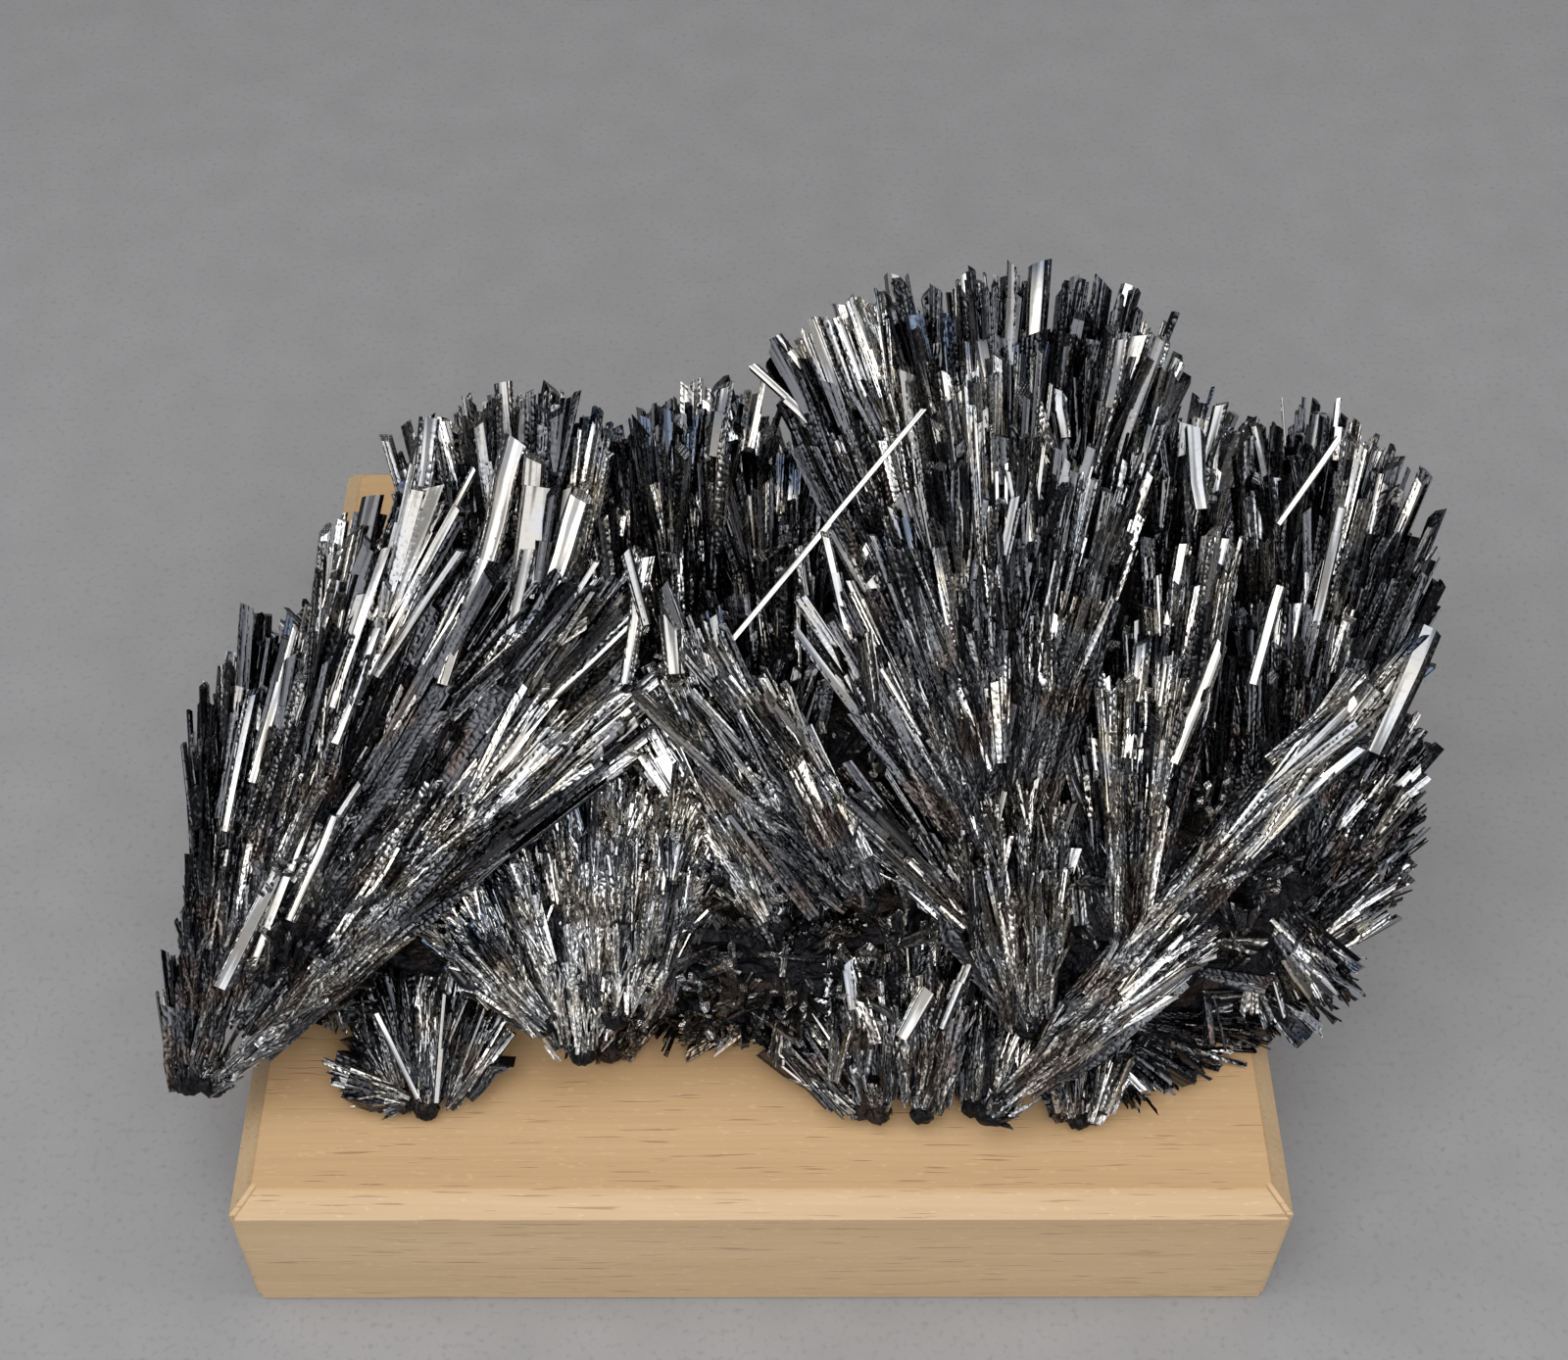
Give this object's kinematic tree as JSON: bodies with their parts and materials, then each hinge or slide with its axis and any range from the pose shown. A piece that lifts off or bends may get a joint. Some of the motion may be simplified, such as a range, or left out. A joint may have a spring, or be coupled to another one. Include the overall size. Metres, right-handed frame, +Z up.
{
  "type": "stibnite crystal spray on display block",
  "caption": "Radiating spray of slender metallic stibnite crystals grown together in fans, resting on a square chamfered wooden display block.",
  "frame": {"origin": "centre of the block's bottom face", "axes": "+Z up, -Y towards the front of the specimen, +X to the right along the front edge and along the spray's longest side"},
  "size_m": [0.1215, 0.098, 0.0706],
  "materials": {
    "stibnite": "bright metallic lustre on lengthwise striated crystal faces, blue-grey tarnish on the tips",
    "wood": "planed pale hardwood, unvarnished, with fine dark pores"
  },
  "bodies": {
    "root": {"crystal_spray": "stibnite", "wood_block": "wood"}
  },
  "joints": []
}
